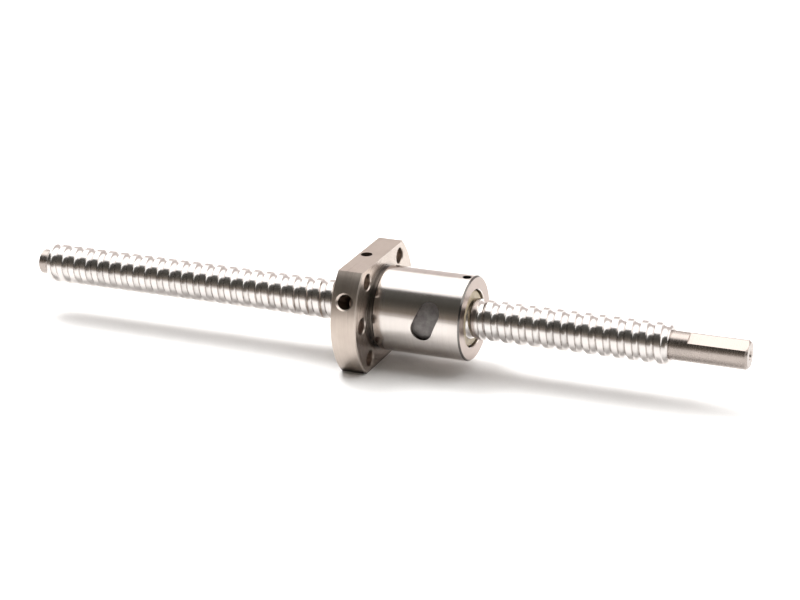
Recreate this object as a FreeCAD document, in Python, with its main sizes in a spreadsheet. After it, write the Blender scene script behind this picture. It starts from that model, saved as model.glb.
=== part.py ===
import FreeCAD, Part
import math
import os
import Sketcher
from FreeCAD import Placement, Rotation, Vector

# Flanged ball screw, millimetres. X is the screw axis, +X towards the drive journal, Z is up.
# The origin is on the axis at the flange's mounting face, the side that the barrel leaves.
# Angles about X are counted from +Y towards +Z.

DIMENSIONS = {
    # screw
    "screw_od": 11.4,
    "screw_lead": 4.0,
    "thread_left": 108.9,      # threaded length left of the origin
    "thread_right": 83.5,      # threaded length right of the origin
    "thread_chamfer_left": 1.7,
    "thread_chamfer_right": 0.9,
    "stub_dia": 7.3,
    "stub_length": 2.75,
    "journal_dia": 8.0,
    "journal_length": 21.3,
    "journal_chamfer": 0.6,
    "flat_inset": 5.0,         # from the thread's end to the start of the journal's flat
    "flat_depth": 0.5,
    "flat_angle": 114.5,
    "centre_drill": 1.25,
    "centre_sink": 2.65,
    "centre_depth": 3.2,
    # raceways and balls
    "ball_dia": 2.381,
    "ball_circle": 12.0,
    "race_arc": 1.24,
    "race_shift": 0.03,        # gothic arch: each flank's centre stands this far past the middle
    "race_phase": 1.0,         # x of a raceway's middle at angle 0
    # nut
    "nut_bore": 12.3,
    "barrel_dia": 24.0,
    "barrel_length": 27.0,
    "barrel_chamfer": 0.45,
    "flange_dia": 41.0,
    "flange_thick": 7.5,
    "flange_across": 30.0,
    "flange_chamfer": 0.3,
    "flange_break": 0.1,       # broken edge at the flange's back
    "relief_width": 1.5,
    "relief_depth": 0.5,
    "seat_dia": 16.2,          # wiper counterbores
    "seat_depth": 4.2,
    "seat_chamfer": 0.2,
    "bolt_circle": 32.0,
    "bolt_hole": 4.5,
    "bolt_chamfer": 0.25,
    "port_drill": 4.2,
    "port_sink": 5.3,
    "port_angle": 157.5,
    "port_depth": 8.6,
    "feed_drill": 1.6,
    "feed_x": 2.45,            # behind the mounting face
    # return windows and inserts
    "window_turn": 4.0,        # raceway turn that the first window's middle stands over
    "window_angle": 170.4,
    "window_length": 11.3,
    "window_width": 6.3,
    "window_lean": 23.0,
    "insert_gap": 0.02,
    "insert_recess": 1.3,
    "insert_reach": 60.0,      # half the angle over which the insert carries the ball path
    "insert_step": 12.0,       # angle spanned by each straight run of its channel
    "channel_radius": 1.3,
    "return_angle": 72.0,      # angle over which the balls cross the land
    "return_clear": 0.08,
    # wipers and their grub screws
    "wiper_dia": 15.9,
    "wiper_thick": 3.5,
    "wiper_bore": 11.7,
    "wiper_edge": 0.45,
    "wiper_lip": 1.05,         # half the lip's width where it leaves the bore
    "wiper_reach": 0.95,       # how far the lip goes below the balls' pitch circle
    "grub_m3": 3.0,
    "grub_m3_pitch": 0.5,
    "grub_m3_length": 2.8,
    "grub_m3_key": 1.5,
    "grub_m3_tap": 2.5,
    "grub_m4": 4.0,
    "grub_m4_pitch": 0.7,
    "grub_m4_length": 5.0,
    "grub_m4_key": 2.0,
    "grub_m4_tap": 3.3,
}
CIRCUITS = 3
BALLS_PER_CIRCUIT = 16

FRONT_WIPER_X = "(Dims.barrel_length - Dims.seat_depth + 0.02)"
REAR_WIPER_X = "(-Dims.flange_thick + Dims.seat_depth - 0.02 - Dims.wiper_thick)"
FRONT_GRUB_X = "(Dims.barrel_length - Dims.seat_depth / 2 + 0.1)"
REAR_GRUB_X = "(-Dims.flange_thick + Dims.seat_depth / 2 + 0.25)"

doc = FreeCAD.newDocument("BallScrew")
sheet = doc.addObject("Spreadsheet::Sheet", "Dims")
for row, (alias, value) in enumerate(DIMENSIONS.items(), start=1):
    sheet.set(f"A{row}", alias)
    sheet.set(f"B{row}", str(value))
    sheet.setAlias(f"B{row}", alias)
doc.recompute()


def bind(thing, prop, expression):
    thing.setExpression(prop, expression)


def size(expression):
    return float(sheet.evalExpression(expression))


def origin_plane(body, role):
    return next(f for f in body.Origin.OriginFeatures if f.Role == role)


def add_sketch(body, name, role="XZ_Plane", x="0", angle="90", lift=0.0, turn=0.0):
    """Sketch on a plane of the body, moved along X and turned about X.

    On XZ_Plane the sketch's y runs outward at the given angle. On XY_Plane its z does, and lift
    moves it outward and turn spins it about that direction.
    """
    sketch = body.newObject("Sketcher::SketchObject", name)
    sketch.AttachmentSupport = [(origin_plane(body, role), "")]
    sketch.MapMode = "FlatFace"
    tilt = size(angle) - 90
    spin = Rotation(Vector(1, 0, 0), tilt) * Rotation(Vector(0, 0, 1), turn)
    out = Rotation(Vector(1, 0, 0), tilt).multVec(Vector(0, 0, lift))
    sketch.AttachmentOffset = Placement(Vector(size(x), out.y, out.z), spin)
    bind(sketch, "AttachmentOffset.Base.x", x)
    return sketch


def hold(sketch, axis, geometry, point, expression):
    """Holds a point's x or y at an expression, measured from the sketch's origin."""
    value = float(sketch.evalExpression(expression))
    origin, here = (-1, 1), (geometry, point)
    if abs(value) < 1e-9:
        on = -2 if axis == "X" else -1
        sketch.addConstraint(Sketcher.Constraint("PointOnObject", geometry, point, on))
        return
    ends = origin + here if value > 0 else here + origin
    index = sketch.addConstraint(Sketcher.Constraint("Distance" + axis, *ends, abs(value)))
    bind(sketch, f"Constraints[{index}]", expression if value > 0 else f"-({expression})")


def outline(sketch, corners):
    """Closed outline through (x, y) pairs of expressions."""
    points = [Vector(*(float(sketch.evalExpression(e)) for e in corner), 0) for corner in corners]
    first = sketch.GeometryCount
    count = len(points)
    for i in range(count):
        sketch.addGeometry(Part.LineSegment(points[i], points[(i + 1) % count]), False)
    for i in range(count):
        sketch.addConstraint(
            Sketcher.Constraint("Coincident", first + i, 2, first + (i + 1) % count, 1)
        )
    for i, corner in enumerate(corners):
        hold(sketch, "X", first + i, 1, corner[0])
        hold(sketch, "Y", first + i, 1, corner[1])


def circle(sketch, x, y, radius):
    centre = Vector(float(sketch.evalExpression(x)), float(sketch.evalExpression(y)), 0)
    r = float(sketch.evalExpression(radius))
    index = sketch.addGeometry(Part.Circle(centre, Vector(0, 0, 1), r), False)
    bound = sketch.addConstraint(Sketcher.Constraint("Radius", index, r))
    bind(sketch, f"Constraints[{bound}]", radius)
    hold(sketch, "X", index, 3, x)
    hold(sketch, "Y", index, 3, y)


def gothic_arch(sketch, outward, mouth):
    """Raceway section about x = 0: two flanks that meet in a point, closed across at mouth."""
    arc, shift, pitch = size("Dims.race_arc"), size("Dims.race_shift"), size("Dims.ball_circle / 2")
    top = size(mouth)
    lean = math.acos(shift / arc)
    z = Vector(0, 0, 1)
    right_circle = Part.Circle(Vector(-shift, pitch, 0), z, arc)
    left_circle = Part.Circle(Vector(shift, pitch, 0), z, arc)
    if outward:
        right = Part.ArcOfCircle(right_circle, 0, lean)
        left = Part.ArcOfCircle(left_circle, math.pi - lean, math.pi)
        right_end, left_end, right_tip, left_tip = 1, 2, 2, 1
    else:
        right = Part.ArcOfCircle(right_circle, -lean, 0)
        left = Part.ArcOfCircle(left_circle, math.pi, math.pi + lean)
        right_end, left_end, right_tip, left_tip = 2, 1, 1, 2
    half = arc - shift
    corners = [Vector(half, pitch, 0), Vector(half, top, 0), Vector(-half, top, 0), Vector(-half, pitch, 0)]
    sketch.addGeometry([right, left], False)
    for a, b in zip(corners, corners[1:]):
        sketch.addGeometry(Part.LineSegment(a, b), False)
    joins = [(0, right_tip, 1, left_tip), (0, right_end, 2, 1), (2, 2, 3, 1), (3, 2, 4, 1), (4, 2, 1, left_end)]
    for join in joins:
        sketch.addConstraint(Sketcher.Constraint("Coincident", *join))
    for flank in (0, 1):
        index = sketch.addConstraint(Sketcher.Constraint("Radius", flank, arc))
        bind(sketch, f"Constraints[{index}]", "Dims.race_arc")
        hold(sketch, "Y", flank, 3, "Dims.ball_circle / 2")
    hold(sketch, "X", 0, 3, "-Dims.race_shift")
    hold(sketch, "X", 1, 3, "Dims.race_shift")
    hold(sketch, "Y", 0, right_end, "Dims.ball_circle / 2")
    hold(sketch, "Y", 1, left_end, "Dims.ball_circle / 2")
    sketch.addConstraint(Sketcher.Constraint("Vertical", 2))
    sketch.addConstraint(Sketcher.Constraint("Vertical", 4))
    sketch.addConstraint(Sketcher.Constraint("Horizontal", 3))
    hold(sketch, "Y", 3, 1, mouth)


def revolve(body, sketch, name, kind="PartDesign::Revolution", axis="H_Axis"):
    feature = body.newObject(kind, name)
    feature.Profile = sketch
    feature.ReferenceAxis = (sketch, [axis])
    feature.Angle = 360
    return feature


def cut_helix(body, sketch, name, turns):
    feature = body.newObject("PartDesign::SubtractiveHelix", name)
    feature.Profile = sketch
    feature.ReferenceAxis = (sketch, ["H_Axis"])
    feature.Mode = 0
    bind(feature, "Pitch", "Dims.screw_lead")
    bind(feature, "Height", f"Dims.screw_lead * {turns}")
    return feature


def add_body(label):
    body = doc.addObject("PartDesign::Body", label)
    body.Label = label
    return body


def turn_of_race(x, angle):
    """The raceway's last whole turn whose middle is at or before x at this angle."""
    lead = size("Dims.screw_lead")
    return math.floor((x - size("Dims.race_phase")) / lead - angle / 360)


def turned_hole(body, name, x, angle, corners):
    """Hole turned about the line that runs outward at this angle: corners are (radius, height)."""
    sketch = add_sketch(body, name + "Outline", x=x, angle=angle)
    outline(sketch, corners)
    return revolve(body, sketch, name, "PartDesign::Groove", "V_Axis")


def edges_where(shape, test):
    return [f"Edge{i}" for i, edge in enumerate(shape.Edges, start=1) if test(edge)]


def build_screw():
    body = add_body("screw_shaft")
    left = "Dims.thread_left"
    profile = add_sketch(body, "ScrewOutline", x=f"-({left} + Dims.stub_length)")
    thread = "Dims.stub_length"
    shoulder = f"Dims.stub_length + {left} + Dims.thread_right"
    end = f"{shoulder} + Dims.journal_length"
    sink = "(Dims.centre_sink - Dims.centre_drill) / 2 * 1.732"
    outline(profile, [
        ("Dims.centre_depth", "0"),
        ("Dims.centre_depth", "Dims.centre_drill / 2"),
        (sink, "Dims.centre_drill / 2"),
        ("0", "Dims.centre_sink / 2"),
        ("0", "Dims.stub_dia / 2 - 0.4"),
        ("0.4", "Dims.stub_dia / 2"),
        (thread, "Dims.stub_dia / 2"),
        (thread, "Dims.screw_od / 2 - Dims.thread_chamfer_left"),
        (f"{thread} + Dims.thread_chamfer_left", "Dims.screw_od / 2"),
        (f"{shoulder} - Dims.thread_chamfer_right", "Dims.screw_od / 2"),
        (shoulder, "Dims.screw_od / 2 - Dims.thread_chamfer_right"),
        (shoulder, "Dims.journal_dia / 2"),
        (f"{end} - Dims.journal_chamfer", "Dims.journal_dia / 2"),
        (end, "Dims.journal_dia / 2 - Dims.journal_chamfer"),
        (end, "Dims.centre_sink / 2"),
        (f"{end} - {sink}", "Dims.centre_drill / 2"),
        (f"{end} - Dims.centre_depth", "Dims.centre_drill / 2"),
        (f"{end} - Dims.centre_depth", "0"),
    ])
    revolve(body, profile, "ScrewBlank")

    start = turn_of_race(-size(left) - 1, 90)
    stop = turn_of_race(size("Dims.thread_right") + 1.3, 90) + 1
    section = add_sketch(
        body, "ScrewRaceSection", x=f"Dims.race_phase + Dims.screw_lead * {start + 0.25}"
    )
    gothic_arch(section, False, "Dims.ball_circle / 2 + 0.4")
    cut_helix(body, section, "ScrewRaceway", stop - start)

    flat = add_sketch(
        body, "JournalFlatOutline", x="Dims.thread_right + Dims.flat_inset", angle="Dims.flat_angle"
    )
    outline(flat, [
        ("0", "Dims.journal_dia / 2 - Dims.flat_depth"),
        ("Dims.journal_length", "Dims.journal_dia / 2 - Dims.flat_depth"),
        ("Dims.journal_length", "Dims.journal_dia"),
        ("0", "Dims.journal_dia"),
    ])
    pocket = body.newObject("PartDesign::Pocket", "JournalFlat")
    pocket.Profile = flat
    pocket.Midplane = True
    bind(pocket, "Length", "2 * Dims.journal_dia")
    return body


def build_nut():
    body = add_body("nut_body")
    profile = add_sketch(body, "NutOutline", x="-Dims.flange_thick")
    front = "Dims.flange_thick"
    end = "Dims.flange_thick + Dims.barrel_length"
    rim, bevel = "Dims.flange_dia / 2", "Dims.flange_chamfer"
    wall, seat = "Dims.barrel_dia / 2", "Dims.seat_dia / 2"
    outline(profile, [
        ("0", f"{seat} + Dims.seat_chamfer"),
        ("0", f"{rim} - Dims.flange_break"),
        ("Dims.flange_break", rim),
        (f"{front} - {bevel}", rim),
        (front, f"{rim} - {bevel}"),
        (front, f"{wall} - Dims.relief_depth"),
        (f"{front} + Dims.relief_width - Dims.relief_depth", f"{wall} - Dims.relief_depth"),
        (f"{front} + Dims.relief_width", wall),
        (f"{end} - Dims.barrel_chamfer", wall),
        (end, f"{wall} - Dims.barrel_chamfer"),
        (end, f"{seat} + Dims.seat_chamfer"),
        (f"{end} - Dims.seat_chamfer", seat),
        (f"{end} - Dims.seat_depth", seat),
        (f"{end} - Dims.seat_depth", "Dims.nut_bore / 2"),
        ("Dims.seat_depth", "Dims.nut_bore / 2"),
        ("Dims.seat_depth", seat),
        ("Dims.seat_chamfer", seat),
    ])
    revolve(body, profile, "NutBlank")

    flats = body.newObject("Sketcher::SketchObject", "FlangeFlatsOutline")
    flats.AttachmentSupport = [(origin_plane(body, "YZ_Plane"), "")]
    flats.MapMode = "FlatFace"
    for side in ("", "-"):
        outline(flats, [
            ("-Dims.flange_dia", f"{side}Dims.flange_across / 2"),
            ("Dims.flange_dia", f"{side}Dims.flange_across / 2"),
            ("Dims.flange_dia", f"{side}Dims.flange_dia"),
            ("-Dims.flange_dia", f"{side}Dims.flange_dia"),
        ])
    pocket = body.newObject("PartDesign::Pocket", "FlangeFlats")
    pocket.Profile = flats
    pocket.Midplane = True
    bind(pocket, "Length", "2 * Dims.flange_thick + 1")

    holes = body.newObject("Sketcher::SketchObject", "BoltHoleCircles")
    holes.AttachmentSupport = [(origin_plane(body, "YZ_Plane"), "")]
    holes.MapMode = "FlatFace"
    for turn in (-45, 0, 45):
        circle(
            holes,
            f"Dims.bolt_circle / 2 * cos({turn} deg)",
            f"Dims.bolt_circle / 2 * sin({turn} deg)",
            "Dims.bolt_hole / 2",
        )
    drilled = body.newObject("PartDesign::Pocket", "BoltHoles")
    drilled.Profile = holes
    drilled.Midplane = True
    bind(drilled, "Length", "2 * Dims.flange_thick + 1")
    pattern = body.newObject("PartDesign::PolarPattern", "BoltHolePattern")
    pattern.Originals = [drilled]
    pattern.Axis = (next(f for f in body.Origin.OriginFeatures if f.Role == "X_Axis"), [""])
    pattern.Angle = 360
    pattern.Occurrences = 2
    body.Tip = pattern
    doc.recompute()

    hole_radius = size("Dims.bolt_hole / 2")
    rims = edges_where(
        pattern.Shape,
        lambda e: isinstance(e.Curve, Part.Circle) and abs(e.Curve.Radius - hole_radius) < 1e-6
        and abs(abs(e.Curve.Axis.x) - 1) < 1e-6,
    )
    bevels = body.newObject("PartDesign::Chamfer", "BoltHoleChamfers")
    bevels.Base = (pattern, rims)
    bind(bevels, "Size", "Dims.bolt_chamfer")

    rim_top = "Dims.flange_dia / 2"
    floor = f"{rim_top} - Dims.port_depth"
    turned_hole(body, "GreasePort", "-Dims.flange_thick / 2", "Dims.port_angle", [
        ("0", f"{floor} - Dims.port_drill / 2 * 0.6"),
        ("Dims.port_drill / 2", floor),
        ("Dims.port_drill / 2", f"{rim_top} - (Dims.port_sink - Dims.port_drill) / 2"),
        ("Dims.port_sink / 2 + 0.5", f"{rim_top} + 0.5"),
        ("0", f"{rim_top} + 0.5"),
    ])
    turned_hole(body, "GreaseFeed", "-Dims.feed_x", "Dims.port_angle", [
        ("0", "Dims.nut_bore / 2 - 1"),
        ("Dims.feed_drill / 2", "Dims.nut_bore / 2 - 1"),
        ("Dims.feed_drill / 2", floor),
        ("0", floor),
    ])
    for name, x, tap, top in (
        ("FrontGrubHole", FRONT_GRUB_X, "Dims.grub_m3_tap", "Dims.barrel_dia / 2"),
        ("RearGrubHole", REAR_GRUB_X, "Dims.grub_m4_tap", "Dims.flange_across / 2"),
    ):
        turned_hole(body, name, x, "90", [
            ("0", f"{seat} - 0.6"),
            (f"{tap} / 2", f"{seat} - 0.6"),
            (f"{tap} / 2", f"{top} + 1"),
            ("0", f"{top} + 1"),
        ])

    for number in range(1, CIRCUITS + 1):
        x, angle = window_place(number)
        window = add_sketch(
            body, f"Window{number}Outline", role="XY_Plane", x=x, angle=angle,
            lift=size("Dims.barrel_dia / 2 + 1"), turn=-size("Dims.window_lean"),
        )
        slot(window, "Dims.window_length", "Dims.window_width")
        cut = body.newObject("PartDesign::Pocket", f"Window{number}")
        cut.Profile = window
        bind(cut, "Length", "Dims.barrel_dia / 2 - 1.5")

    first = turn_of_race(-size("Dims.flange_thick") - 1, 90)
    last = turn_of_race(size("Dims.barrel_length") + 1, 90) + 1
    section = add_sketch(
        body, "NutRaceSection", x=f"Dims.race_phase + Dims.screw_lead * {first + 0.25}"
    )
    gothic_arch(section, True, "Dims.ball_circle / 2 - 0.2")
    cut_helix(body, section, "NutRaceway", last - first)
    return body


def window_place(number):
    """Expressions for the x and the angle of a return window's middle."""
    angle = f"(Dims.window_angle - 360 / {CIRCUITS} * {number - 1})"
    back = f"Dims.screw_lead * (1 + 1 / {CIRCUITS}) * {number - 1}"
    x = f"(Dims.race_phase + Dims.screw_lead * (Dims.window_turn - 0.5 + Dims.window_angle / 360) - {back})"
    return x, angle


def slot(sketch, length, width):
    """Obround about the origin, long along y."""
    radius = size(width) / 2
    half = size(length) / 2 - radius
    z = Vector(0, 0, 1)
    top = Part.ArcOfCircle(Part.Circle(Vector(0, half, 0), z, radius), 0, math.pi)
    bottom = Part.ArcOfCircle(Part.Circle(Vector(0, -half, 0), z, radius), math.pi, 2 * math.pi)
    left = Part.LineSegment(Vector(-radius, half, 0), Vector(-radius, -half, 0))
    right = Part.LineSegment(Vector(radius, -half, 0), Vector(radius, half, 0))
    sketch.addGeometry([top, left, bottom, right], False)
    for a, b in ((0, 1), (1, 2), (2, 3), (3, 0)):
        sketch.addConstraint(Sketcher.Constraint("Tangent", a, 2, b, 1))
    sketch.addConstraint(Sketcher.Constraint("Equal", 0, 2))
    bound = sketch.addConstraint(Sketcher.Constraint("Radius", 0, radius))
    bind(sketch, f"Constraints[{bound}]", f"{width} / 2")
    hold(sketch, "X", 0, 3, "0")
    hold(sketch, "X", 2, 3, "0")
    hold(sketch, "Y", 0, 3, f"{length} / 2 - {width} / 2")
    hold(sketch, "Y", 2, 3, f"-({length} / 2 - {width} / 2)")


def return_path(number, turn_from_window):
    """Point of a circuit's ball path, by the angle from its window's middle (-180 to 180).

    Away from the window the balls run in the raceway. Across it they climb over the screw's land,
    back to the turn that they came from.
    """
    x, angle = (size(e) for e in window_place(number))
    lead, half = size("Dims.screw_lead"), size("Dims.return_angle / 2")
    pitch = size("Dims.ball_circle / 2")
    climb = size("Dims.screw_od / 2 + Dims.ball_dia / 2 + Dims.return_clear") - pitch
    along = min(max((turn_from_window + half) / (2 * half), 0), 1)
    lift = ease(min(along, 1 - along) / 0.36)
    back = ease((along - 0.12) / 0.76)
    radius = pitch + climb * lift
    x += lead * (0.5 - back + turn_from_window / 360)
    a = math.radians(angle + turn_from_window)
    return Vector(x, radius * math.cos(a), radius * math.sin(a))


def ease(t):
    t = min(max(t, 0), 1)
    return t * t * t * (t * (6 * t - 15) + 10)


def build_insert(number):
    """Return insert: a slot-shaped plug with the balls' crossover cut in its inner face."""
    x, angle = window_place(number)
    blank = doc.addObject("PartDesign::Body", f"InsertBlank{number}")
    sketch = add_sketch(
        blank, f"Insert{number}Outline", role="XY_Plane", x=x, angle=angle,
        lift=size("Dims.barrel_dia / 2 + 1"), turn=-size("Dims.window_lean"),
    )
    slot(sketch, "(Dims.window_length - 2 * Dims.insert_gap)", "(Dims.window_width - 2 * Dims.insert_gap)")
    pad = blank.newObject("PartDesign::Pad", f"Insert{number}Plug")
    pad.Profile = sketch
    pad.Reversed = True
    bind(pad, "Length", "Dims.barrel_dia / 2 - 1.5")
    for name, low, high in (
        ("Crown", "Dims.barrel_dia / 2 - Dims.insert_recess", "Dims.barrel_dia"),
        ("Saddle", "0", "Dims.nut_bore / 2"),
    ):
        ring = add_sketch(blank, f"Insert{number}{name}Outline", x=f"{x} - Dims.window_length")
        outline(ring, [
            ("0", low), ("2 * Dims.window_length", low), ("2 * Dims.window_length", high), ("0", high),
        ])
        revolve(blank, ring, f"Insert{number}{name}", "PartDesign::Groove")

    reach, step = int(size("Dims.insert_reach")), int(size("Dims.insert_step"))
    points = [return_path(number, a) for a in range(-reach, reach + 1, step)]
    pieces = []
    for i, point in enumerate(points):
        bend = doc.addObject("Part::Sphere", f"Bend{number}_{i}")
        bind(bend, "Radius", "Dims.channel_radius + 0.03")
        bend.Placement = Placement(point, Rotation())
        pieces.append(bend)
    for i, (near, far) in enumerate(zip(points, points[1:])):
        run = doc.addObject("Part::Cylinder", f"Run{number}_{i}")
        bind(run, "Radius", "Dims.channel_radius")
        run.Height = (far - near).Length
        run.Placement = Placement(near, Rotation(Vector(0, 0, 1), far - near))
        pieces.append(run)
    label = f"return_insert_{number}"
    insert = blank
    for i, piece in enumerate(pieces, start=1):
        name = label if i == len(pieces) else f"Insert{number}Cut{i}"
        cut = doc.addObject("Part::Cut", name)
        cut.Base = insert
        cut.Tool = piece
        insert = cut
    insert.Label = label
    return insert


def build_balls(number):
    """One circuit's balls, spaced evenly along its closed path."""
    steps = 1440
    trail = [return_path(number, -180 + 360 * i / steps) for i in range(steps + 1)]
    lengths = [0]
    for a, b in zip(trail, trail[1:]):
        lengths.append(lengths[-1] + (b - a).Length)
    balls = []
    spot = 0
    for i in range(BALLS_PER_CIRCUIT):
        target = lengths[-1] * (i + 0.5) / BALLS_PER_CIRCUIT
        while lengths[spot + 1] < target:
            spot += 1
        share = (target - lengths[spot]) / (lengths[spot + 1] - lengths[spot])
        ball = doc.addObject("Part::Sphere", f"ball_{number}_{i + 1:02d}")
        ball.Label = f"ball_{number}_{i + 1:02d}"
        bind(ball, "Radius", "Dims.ball_dia / 2")
        ball.Placement = Placement(trail[spot] + (trail[spot + 1] - trail[spot]) * share, Rotation())
        balls.append(ball)
    return balls


def build_wiper(label, x):
    """Nylon ring whose bore carries a lip that follows the screw's raceway."""
    body = add_body(label)
    ring = add_sketch(body, "Outline_" + label, x=x)
    edge, radius = "Dims.wiper_edge", "Dims.wiper_dia / 2"
    tip = "(Dims.ball_circle / 2 - Dims.wiper_reach)"
    outline(ring, [
        ("0", tip),
        ("Dims.wiper_thick", tip),
        ("Dims.wiper_thick", f"{radius} - {edge}"),
        (f"Dims.wiper_thick - {edge}", radius),
        (edge, radius),
        ("0", f"{radius} - {edge}"),
    ])
    revolve(body, ring, "Ring_" + label)

    first = turn_of_race(size(x) - 2, 90)
    last = turn_of_race(size(x) + size("Dims.wiper_thick") + 2, 90) + 1
    land = add_sketch(
        body, "LandSection_" + label, x=f"Dims.race_phase + Dims.screw_lead * {first + 0.75}"
    )
    top, low = "Dims.wiper_bore / 2", f"{tip} - 0.2"
    half_top = "(Dims.screw_lead / 2 - Dims.wiper_lip)"
    half_low = "(Dims.screw_lead / 2 - 0.45 * Dims.wiper_lip)"
    outline(land, [
        (f"-{half_top}", top),
        (f"-{half_top}", f"{top} - 0.25"),
        (f"-{half_low}", low),
        (half_low, low),
        (half_top, f"{top} - 0.25"),
        (half_top, top),
    ])
    cut_helix(body, land, "Lands_" + label, last - first)
    return body


def build_grub(label, x, kind):
    """Socket set screw with a cup point, its axis upright, bearing on the wiper below it."""
    body = add_body(label)
    pitch, length, key = (f"Dims.{kind}_{tail}" for tail in ("pitch", "length", "key"))
    low = "(Dims.wiper_dia / 2 + 0.02)"
    high = f"({low} + {length})"
    major = f"(Dims.{kind} / 2 - 0.54 * {pitch} - 0.02)"
    outer = add_sketch(body, "Outline_" + label, x=x)
    outline(outer, [
        ("0", f"{low} + 0.35 * {major}"),
        (f"0.55 * {major}", low),
        (f"0.7 * {major}", low),
        (major, f"{low} + 0.3 * {major}"),
        (major, f"{high} - 0.2 * {major}"),
        (f"0.8 * {major}", high),
        ("0", high),
    ])
    revolve(body, outer, "Blank_" + label, axis="V_Axis")
    vee = add_sketch(body, "Vee_" + label, x=x)
    outline(vee, [
        (f"{major} - 0.4 * {pitch}", f"{low} - 0.6 * {pitch}"),
        (f"{major} + 0.2", f"{low} - 1.05 * {pitch}"),
        (f"{major} + 0.2", f"{low} - 0.15 * {pitch}"),
    ])
    thread = body.newObject("PartDesign::SubtractiveHelix", "Thread_" + label)
    thread.Profile = vee
    thread.ReferenceAxis = (vee, ["V_Axis"])
    thread.Mode = 0
    bind(thread, "Pitch", pitch)
    bind(thread, "Height", f"{length} + 1.6 * {pitch}")
    socket = add_sketch(body, "Socket_" + label, role="XY_Plane", x=x, lift=size(high))
    corner = f"{key} / sqrt(3)"
    outline(socket, [
        (f"{corner} * cos({60 * i + 7} deg)", f"{corner} * sin({60 * i + 7} deg)") for i in range(6)
    ])
    key_hole = body.newObject("PartDesign::Pocket", "Key_" + label)
    key_hole.Profile = socket
    bind(key_hole, "Length", f"0.45 * {length}")
    return body


PARTS = [build_screw(), build_nut()]
PARTS += [build_insert(number) for number in range(1, CIRCUITS + 1)]
PARTS += [
    build_wiper("wiper_front", FRONT_WIPER_X),
    build_wiper("wiper_rear", REAR_WIPER_X),
    build_grub("wiper_grub_front", FRONT_GRUB_X, "grub_m3"),
    build_grub("wiper_grub_rear", REAR_GRUB_X, "grub_m4"),
]
for number in range(1, CIRCUITS + 1):
    PARTS += build_balls(number)
doc.recompute()

for item in doc.Objects:
    if "Invalid" in item.State or "Error" in item.State:
        raise RuntimeError(f"{item.Name} did not compute: {item.State}")
os.makedirs("parts", exist_ok=True)
for part in PARTS:
    if part.Shape.isNull() or not part.Shape.isValid() or len(part.Shape.Solids) != 1:
        raise RuntimeError(f"{part.Label} is not one valid solid")
    part.Shape.exportStep(f"parts/{part.Label}.step")
    print(f"{part.Label}: {part.Shape.Volume:.2f} mm3")
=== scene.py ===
import math

import bpy
from mathutils import Matrix, Vector

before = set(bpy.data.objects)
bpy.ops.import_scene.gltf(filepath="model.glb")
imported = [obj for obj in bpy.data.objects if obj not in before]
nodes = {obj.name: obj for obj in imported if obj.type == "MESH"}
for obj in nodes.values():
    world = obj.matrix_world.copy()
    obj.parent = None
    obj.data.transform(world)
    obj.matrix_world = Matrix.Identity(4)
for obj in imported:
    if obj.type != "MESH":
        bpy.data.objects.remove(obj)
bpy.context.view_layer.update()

MM = 0.001
FLOOR_Z = -15 * MM

# where the materials change, from the flange's mounting face along X and out from the axis
RELIEF_END = 1.5 * MM
BARREL_END = 27 * MM
BARREL_RADIUS = 12 * MM
CREST_RADIUS = 5.68 * MM
JOURNAL_RADIUS = 4 * MM
THREAD_MIDDLE = -12.7 * MM
THREAD_HALF = 96 * MM

scene = bpy.context.scene
scene.view_settings.view_transform = "Standard"


# ---------------------------------------------------------------- node helpers

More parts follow.
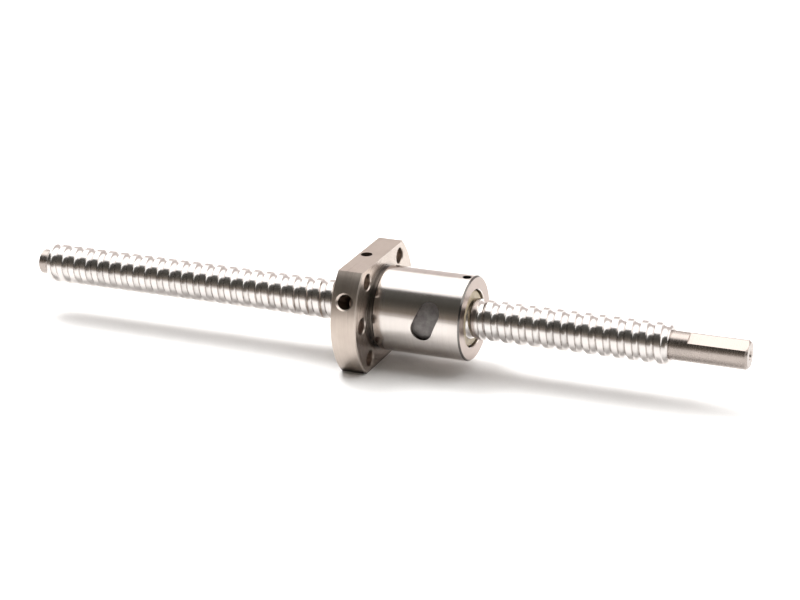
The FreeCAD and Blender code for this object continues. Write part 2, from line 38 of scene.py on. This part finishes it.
class Shader:
    """Small helper for writing a material's node tree."""

    def __init__(self, name):
        self.material = bpy.data.materials.new(name)
        self.material.use_nodes = True
        self.tree = self.material.node_tree
        self.tree.nodes.clear()
        self.surface = self.add("ShaderNodeBsdfPrincipled")
        out = self.add("ShaderNodeOutputMaterial")
        self.tree.links.new(self.surface.outputs["BSDF"], out.inputs["Surface"])
        self.place = self.add("ShaderNodeTexCoord").outputs["Object"]

    def add(self, kind, **inputs):
        node = self.tree.nodes.new(kind)
        for key, value in inputs.items():
            self.put(node.inputs[key.replace("_", " ")], value)
        return node

    def put(self, socket, value):
        if isinstance(value, bpy.types.NodeSocket):
            self.tree.links.new(value, socket)
        else:
            socket.default_value = value

    def math(self, operation, a, b=0.0, c=0.0, clamp=False):
        node = self.add("ShaderNodeMath")
        node.operation = operation
        node.use_clamp = clamp
        for socket, value in zip(node.inputs, (a, b, c)):
            self.put(socket, value)
        return node.outputs[0]

    def stretch(self, scale, offset=(0, 0, 0)):
        node = self.add("ShaderNodeMapping", Vector=self.place)
        node.inputs["Scale"].default_value = scale
        node.inputs["Location"].default_value = offset
        return node.outputs["Vector"]

    def noise(self, vector, scale, detail=3.0, rough=0.55):
        node = self.add("ShaderNodeTexNoise", Vector=vector, Scale=scale, Detail=detail, Roughness=rough)
        return node.outputs["Fac"]

    def ramp(self, value, stops, smooth=False):
        node = self.add("ShaderNodeValToRGB", Fac=value)
        node.color_ramp.interpolation = "EASE" if smooth else "LINEAR"
        elements = node.color_ramp.elements
        while len(elements) < len(stops):
            elements.new(0.5)
        for element, (position, color) in zip(elements, stops):
            element.position = position
            element.color = (*color, 1) if len(color) == 3 else color
        return node.outputs["Color"]

    def spread(self, value, low, high, out_low, out_high):
        node = self.add("ShaderNodeMapRange", Value=value)
        for key, number in (("From Min", low), ("From Max", high), ("To Min", out_low), ("To Max", out_high)):
            node.inputs[key].default_value = number
        return node.outputs["Result"]

    def mix(self, kind, fac, a, b):
        node = self.add("ShaderNodeMix")
        node.data_type = "RGBA"
        node.blend_type = kind
        self.put(node.inputs[0], fac)
        self.put(node.inputs[6], a)
        self.put(node.inputs[7], b)
        return node.outputs[2]

    def bump(self, height, distance, strength=1.0, normal=None):
        node = self.add("ShaderNodeBump", Height=height)
        node.inputs["Strength"].default_value = strength
        node.inputs["Distance"].default_value = distance
        if normal is not None:
            self.put(node.inputs["Normal"], normal)
        return node.outputs["Normal"]

    def polar(self):
        """Position as x, radius and angle about the screw's axis, all in metres or turns."""
        split = self.add("ShaderNodeSeparateXYZ", Vector=self.place)
        x, y, z = split.outputs
        radius = self.math("SQRT", self.math("ADD", self.math("MULTIPLY", y, y), self.math("MULTIPLY", z, z)))
        angle = self.math("ARCTAN2", z, y)
        return x, radius, angle

    def worn_edges(self, width, sharp=(0.02, 0.25)):
        """1 along convex edges, 0 elsewhere."""
        bevel = self.add("ShaderNodeBevel")
        bevel.samples = 4
        bevel.inputs["Radius"].default_value = width
        geometry = self.add("ShaderNodeNewGeometry")
        dot = self.add("ShaderNodeVectorMath")
        dot.operation = "DOT_PRODUCT"
        self.put(dot.inputs[0], bevel.outputs["Normal"])
        self.put(dot.inputs[1], geometry.outputs["Normal"])
        gap = self.math("SUBTRACT", 1.0, dot.outputs["Value"])
        return self.spread(gap, sharp[0], sharp[1], 0.0, 1.0)


def give(material, *names):
    for name in names:
        mesh = nodes[name].data
        mesh.materials.clear()
        mesh.materials.append(material)


# ---------------------------------------------------------------- materials

def screw_steel():
    """Rolled and polished thread with fine lines round it, duller turned ends, faint cloudy stain."""
    s = Shader("screw_polished_steel")
    x, radius, angle = s.polar()
    along = s.stretch((1 / MM, 1 / MM, 1 / MM))
    lines = s.noise(s.stretch((9 / MM, 0.25 / MM, 0.25 / MM)), 1.0, 4.0, 0.6)
    cloud = s.noise(along, 0.09, 3.0)
    grain = s.noise(along, 2.2, 3.0)
    crest = s.spread(radius, CREST_RADIUS - 0.48 * MM, CREST_RADIUS, 0.0, 1.0)
    tone = s.ramp(cloud, [(0.3, (0.54, 0.515, 0.50)), (0.55, (0.64, 0.61, 0.59)), (0.75, (0.60, 0.58, 0.57))])
    tone = s.mix("MULTIPLY", 0.35, tone, s.ramp(lines, [(0.3, (0.72, 0.70, 0.69)), (0.6, (1, 1, 1))]))
    tone = s.mix("MIX", s.math("MULTIPLY", crest, 0.35), tone, (0.68, 0.645, 0.625, 1))
    from_middle = s.math("ABSOLUTE", s.math("SUBTRACT", x, THREAD_MIDDLE))
    plain = s.spread(from_middle, THREAD_HALF - 0.1 * MM, THREAD_HALF + 0.4 * MM, 0.0, 1.0)
    thin = s.spread(radius, JOURNAL_RADIUS + 0.3 * MM, JOURNAL_RADIUS + 0.7 * MM, 1.0, 0.0)
    plain = s.math("MULTIPLY", plain, thin)
    tone = s.mix("MULTIPLY", plain, tone, (0.62, 0.57, 0.54, 1))
    s.put(s.surface.inputs["Base Color"], tone)
    s.surface.inputs["Metallic"].default_value = 1.0
    rough = s.math("ADD", s.spread(lines, 0.3, 0.7, 0.11, 0.21), s.math("MULTIPLY", plain, 0.10))
    rough = s.math("ADD", rough, s.spread(grain, 0.35, 0.7, -0.02, 0.05))
    s.put(s.surface.inputs["Roughness"], rough)
    fine = s.bump(lines, 0.004 * MM, 0.5)
    s.put(s.surface.inputs["Normal"], s.bump(grain, 0.006 * MM, 0.35, fine))
    return s.material


def ground_steel():
    """Ground steel: turned lines round barrel and rim, duller flange and end face, painted shade in recesses,
    and a painted dark reflection in the relief groove and on the barrel's rear chamfer.
    """
    s = Shader("nut_ground_steel")
    x, radius, angle = s.polar()
    ring_x = s.noise(s.stretch((7 / MM, 0.03 / MM, 0.03 / MM)), 1.0, 5.0, 0.65)
    face = s.add("ShaderNodeCombineXYZ")
    s.put(face.inputs[0], s.math("MULTIPLY", radius, 6 / MM))
    s.put(face.inputs[1], s.math("MULTIPLY", angle, 0.8))
    ring_r = s.noise(face.outputs[0], 1.0, 4.0, 0.6)
    geometry = s.add("ShaderNodeNewGeometry")
    split = s.add("ShaderNodeSeparateXYZ", Vector=geometry.outputs["True Normal"])
    facing = s.math("ABSOLUTE", split.outputs[0])
    on_face = s.spread(facing, 0.5, 0.9, 0.0, 1.0)
    lines = s.add("ShaderNodeMix")
    s.put(lines.inputs[0], on_face)
    s.put(lines.inputs[2], ring_x)
    s.put(lines.inputs[3], ring_r)
    lines = lines.outputs[0]
    fine = s.stretch((1 / MM, 1 / MM, 1 / MM))
    grain = s.noise(fine, 3.5, 3.0)
    cloud = s.noise(fine, 0.13, 2.0)
    barrel = s.spread(x, -0.1 * MM, 0.6 * MM, 0.0, 1.0)
    warm = s.ramp(cloud, [
        (0.3, (0.44, 0.375, 0.33)),
        (0.6, (0.50, 0.435, 0.385)),
        (0.8, (0.47, 0.405, 0.365)),
    ])
    cool = s.ramp(cloud, [
        (0.3, (0.57, 0.53, 0.50)),
        (0.6, (0.63, 0.585, 0.555)),
        (0.8, (0.60, 0.57, 0.55)),
    ])
    tone = s.mix("MIX", barrel, warm, cool)
    tone = s.mix("MULTIPLY", 0.30, tone, s.ramp(lines, [(0.28, (0.66, 0.64, 0.63)), (0.62, (1, 1, 1))]))
    end = s.spread(x, BARREL_END - 0.1 * MM, BARREL_END - 0.02 * MM, 0.0, 1.0)
    end = s.math("MULTIPLY", end, on_face)
    tone = s.mix("MIX", end, tone, s.mix("MULTIPLY", 1.0, tone, (0.60, 0.53, 0.50, 1)))
    # Painted shade: ambient occlusion darkens the base colour in recesses, bolt holes and inside corners.
    recess = s.add("ShaderNodeAmbientOcclusion", Distance=2.5 * MM)
    recess.samples = 8
    recess_shade = s.spread(recess.outputs["AO"], 0.25, 0.72, 0.16, 1.0)
    edge = s.worn_edges(0.18 * MM)
    tone = s.mix("MIX", s.math("MULTIPLY", edge, 0.45), tone, (0.84, 0.81, 0.78, 1))
    # Painted dark reflection: the relief groove by the flange and the slope of the barrel's rear chamfer get
    # a near-black base colour. This is painted shade standing in for the dark room they reflect.
    inside = s.spread(radius, BARREL_RADIUS - 0.45 * MM, BARREL_RADIUS - 0.08 * MM, 1.0, 0.0)
    before = s.spread(x, RELIEF_END - 0.05 * MM, RELIEF_END + 0.25 * MM, 1.0, 0.0)
    after = s.spread(x, 0.0, 0.06 * MM, 0.0, 1.0)
    groove = s.math("MULTIPLY", s.math("MULTIPLY", inside, before), after)
    steep = s.spread(facing, 0.25, 0.45, 0.0, 1.0)
    slope = s.math("MULTIPLY", steep, s.spread(facing, 0.85, 0.95, 1.0, 0.0))
    outside = s.spread(radius, BARREL_RADIUS - 0.6 * MM, BARREL_RADIUS - 0.5 * MM, 0.0, 1.0)
    near_end = s.spread(x, BARREL_END - 0.7 * MM, BARREL_END - 0.6 * MM, 0.0, 1.0)
    corner = s.math("MULTIPLY", s.math("MULTIPLY", slope, outside), near_end)
    painted_dark_reflection = s.math("MAXIMUM", s.math("MULTIPLY", groove, 0.75), s.math("MULTIPLY", corner, 0.85))
    tone = s.mix("MIX", painted_dark_reflection, tone, (0.075, 0.07, 0.066, 1))
    tone = s.mix("MULTIPLY", 1.0, tone, recess_shade)
    s.put(s.surface.inputs["Base Color"], tone)
    s.surface.inputs["Metallic"].default_value = 1.0
    base = s.math("ADD", s.spread(barrel, 0.0, 1.0, 0.30, 0.13), s.math("MULTIPLY", end, 0.16))
    rough = s.math("ADD", base, s.spread(lines, 0.3, 0.7, -0.03, 0.05))
    s.put(s.surface.inputs["Roughness"], rough)
    first = s.bump(lines, 0.006 * MM, 0.55)
    s.put(s.surface.inputs["Normal"], s.bump(grain, 0.004 * MM, 0.3, first))
    return s.material


def sintered_insert():
    """Dark grey sintered steel: fine pits and a mottled tone."""
    s = Shader("insert_sintered_steel")
    fine = s.stretch((1 / MM, 1 / MM, 1 / MM))
    grain = s.noise(fine, 4.5, 4.0, 0.7)
    cloud = s.noise(fine, 0.6, 3.0)
    pits = s.add("ShaderNodeTexVoronoi", Vector=fine, Scale=5.0).outputs["Distance"]
    tone = s.ramp(cloud, [(0.3, (0.155, 0.142, 0.138)), (0.7, (0.235, 0.22, 0.212))])
    tone = s.mix("MULTIPLY", 0.6, tone, s.ramp(grain, [(0.3, (0.55, 0.55, 0.56)), (0.65, (1, 1, 1))]))
    s.put(s.surface.inputs["Base Color"], tone)
    s.surface.inputs["Metallic"].default_value = 0.65
    s.put(s.surface.inputs["Roughness"], s.spread(grain, 0.3, 0.7, 0.42, 0.6))
    rough = s.bump(grain, 0.02 * MM, 0.5)
    s.put(s.surface.inputs["Normal"], s.bump(pits, 0.015 * MM, 0.4, rough))
    return s.material


def nylon():
    """Olive-cream nylon with turning marks round it and slight grease stains."""
    s = Shader("wiper_nylon")
    x, radius, angle = s.polar()
    fine = s.stretch((1 / MM, 1 / MM, 1 / MM))
    face = s.add("ShaderNodeCombineXYZ")
    s.put(face.inputs[0], s.math("MULTIPLY", radius, 5 / MM))
    s.put(face.inputs[1], s.math("MULTIPLY", angle, 0.6))
    rings = s.noise(face.outputs[0], 1.0, 3.0)
    cloud = s.noise(fine, 0.5, 3.0)
    tone = s.ramp(cloud, [(0.3, (0.40, 0.33, 0.21)), (0.55, (0.55, 0.46, 0.32)), (0.8, (0.61, 0.52, 0.38))])
    tone = s.mix("MULTIPLY", 0.4, tone, s.ramp(rings, [(0.3, (0.75, 0.74, 0.70)), (0.65, (1, 1, 1))]))
    s.put(s.surface.inputs["Base Color"], tone)
    s.put(s.surface.inputs["Roughness"], s.spread(rings, 0.3, 0.7, 0.38, 0.52))
    s.surface.inputs["Subsurface Weight"].default_value = 0.08
    s.surface.inputs["Subsurface Radius"].default_value = (0.6 * MM, 0.5 * MM, 0.3 * MM)
    s.put(s.surface.inputs["Normal"], s.bump(rings, 0.012 * MM, 0.5))
    return s.material


def ball_steel():
    """Mirror-bright bearing steel with a trace of lubricant haze."""
    s = Shader("ball_chrome_steel")
    fine = s.stretch((1 / MM, 1 / MM, 1 / MM))
    haze = s.noise(fine, 1.4, 3.0)
    tone = s.ramp(haze, [(0.3, (0.70, 0.69, 0.68)), (0.7, (0.80, 0.79, 0.78))])
    s.put(s.surface.inputs["Base Color"], tone)
    s.surface.inputs["Metallic"].default_value = 1.0
    s.put(s.surface.inputs["Roughness"], s.spread(haze, 0.35, 0.7, 0.05, 0.11))
    return s.material


def black_oxide():
    """Blackened grub screw: dark, slightly blotchy, worn bright along its edges."""
    s = Shader("grub_black_oxide")
    fine = s.stretch((1 / MM, 1 / MM, 1 / MM))
    grain = s.noise(fine, 3.0, 3.0)
    tone = s.ramp(grain, [(0.3, (0.02, 0.02, 0.023)), (0.7, (0.05, 0.047, 0.045))])
    edge = s.worn_edges(0.1 * MM)
    tone = s.mix("MIX", s.math("MULTIPLY", edge, 0.5), tone, (0.35, 0.34, 0.33, 1))
    s.put(s.surface.inputs["Base Color"], tone)
    s.surface.inputs["Metallic"].default_value = 0.8
    s.put(s.surface.inputs["Roughness"], s.spread(grain, 0.3, 0.7, 0.32, 0.5))
    s.put(s.surface.inputs["Normal"], s.bump(grain, 0.008 * MM, 0.4))
    return s.material


give(screw_steel(), "screw_shaft")
give(ground_steel(), "nut_body")
give(sintered_insert(), *[n for n in nodes if n.startswith("return_insert")])
give(nylon(), "wiper_front", "wiper_rear")
give(ball_steel(), *[n for n in nodes if n.startswith("ball_")])
give(black_oxide(), "wiper_grub_front", "wiper_grub_rear")


# ---------------------------------------------------------------- floor

def paper_floor():
    bpy.ops.mesh.primitive_plane_add(size=6, location=(0, 0, FLOOR_Z))
    floor = bpy.context.object
    floor.name = "floor"
    s = Shader("floor_paper")
    fine = s.stretch((1 / MM, 1 / MM, 1 / MM))
    fibre = s.noise(fine, 1.5, 3.0)
    tone = s.ramp(fibre, [(0.3, (0.86, 0.855, 0.85)), (0.7, (0.89, 0.885, 0.88))])
    s.put(s.surface.inputs["Base Color"], tone)
    s.put(s.surface.inputs["Roughness"], s.spread(fibre, 0.3, 0.7, 0.8, 0.9))
    s.surface.inputs["Specular IOR Level"].default_value = 0.1
    floor.data.materials.append(s.material)
    return floor


paper_floor()


# ---------------------------------------------------------------- light

def soft_box(name, place, aim, width, depth, power, color=(1, 1, 1)):
    data = bpy.data.lights.new(name, "AREA")
    data.shape = "RECTANGLE"
    data.size, data.size_y = width, depth
    data.energy = power
    data.color = color
    lamp = bpy.data.objects.new(name, data)
    lamp.location = place
    lamp.rotation_euler = (Vector(aim) - Vector(place)).to_track_quat("-Z", "Y").to_euler()
    scene.collection.objects.link(lamp)
    return lamp


def world_room():
    """Studio as seen in reflections: pale paper low down, a bright band overhead, a dim room in front."""
    world = bpy.data.worlds.new("studio")
    scene.world = world
    world.use_nodes = True
    tree = world.node_tree
    tree.nodes.clear()
    new = tree.nodes.new
    link = tree.links.new
    place = new("ShaderNodeTexCoord")
    split = new("ShaderNodeSeparateXYZ")
    link(place.outputs["Generated"], split.inputs[0])
    angle = new("ShaderNodeMath")
    angle.operation = "ARCTAN2"
    link(split.outputs[2], angle.inputs[0])
    link(split.outputs[1], angle.inputs[1])
    turn = new("ShaderNodeMapRange")
    turn.inputs["From Min"].default_value = -math.pi
    turn.inputs["From Max"].default_value = math.pi
    link(angle.outputs[0], turn.inputs["Value"])
    ramp = new("ShaderNodeValToRGB")
    bands = [
        (-180, (0.95, 0.90, 0.86)),
        (-150, (0.95, 0.90, 0.86)),
        (-1, (0.95, 0.86, 0.83)),
        (34, (0.95, 0.86, 0.83)),
        (39, (2.1, 2.08, 2.05)),
        (93, (2.1, 2.08, 2.05)),
        (104, (0.42, 0.42, 0.43)),
        (112, (0.13, 0.128, 0.12)),
        (138, (0.085, 0.08, 0.07)),
        (150, (0.12, 0.11, 0.095)),
        (168, (0.30, 0.26, 0.22)),
        (180, (0.95, 0.90, 0.86)),
    ]
    elements = ramp.color_ramp.elements
    while len(elements) < len(bands):
        elements.new(0.5)
    for element, (degrees, color) in zip(elements, bands):
        element.position = (degrees + 180) / 360
        element.color = (*color, 1)
    link(turn.outputs[0], ramp.inputs["Fac"])
    room = new("ShaderNodeBackground")
    link(ramp.outputs["Color"], room.inputs["Color"])
    white = new("ShaderNodeBackground")
    white.inputs["Color"].default_value = (1, 1, 1, 1)
    white.inputs["Strength"].default_value = 1.0
    seen = new("ShaderNodeLightPath")
    both = new("ShaderNodeMixShader")
    link(seen.outputs["Is Camera Ray"], both.inputs[0])
    link(room.outputs[0], both.inputs[1])
    link(white.outputs[0], both.inputs[2])
    out = new("ShaderNodeOutputWorld")
    link(both.outputs[0], out.inputs["Surface"])


world_room()
soft_box("overhead", (0.0, 0.15, 0.9), (0, 0, 0), 1.5, 0.9, 4.5)
key = soft_box("key_left", (-0.42, 0.32, 0.75), (0, 0, 0), 0.4, 0.4, 6.0)
key.visible_glossy = False


# ---------------------------------------------------------------- camera

def camera():
    azimuth, elevation, roll = (math.radians(v) for v in (23.674, 21.464, -1.582))
    back = Vector((
        math.sin(azimuth) * math.cos(elevation),
        -math.cos(azimuth) * math.cos(elevation),
        math.sin(elevation),
    ))
    right = Vector((math.cos(azimuth), math.sin(azimuth), 0))
    up = back.cross(right)
    across = right * math.cos(roll) + up * math.sin(roll)
    above = up * math.cos(roll) - right * math.sin(roll)
    data = bpy.data.cameras.new("camera")
    data.sensor_width = 36
    data.lens = 2142.7 * 36 / 800
    data.clip_start = 0.01
    lens = bpy.data.objects.new("camera", data)
    turn = Matrix((across, above, back)).transposed().to_4x4()
    place = Vector((228.877, -511.417, 222.124)) * MM
    lens.matrix_world = Matrix.Translation(place) @ turn
    scene.collection.objects.link(lens)
    scene.camera = lens


camera()
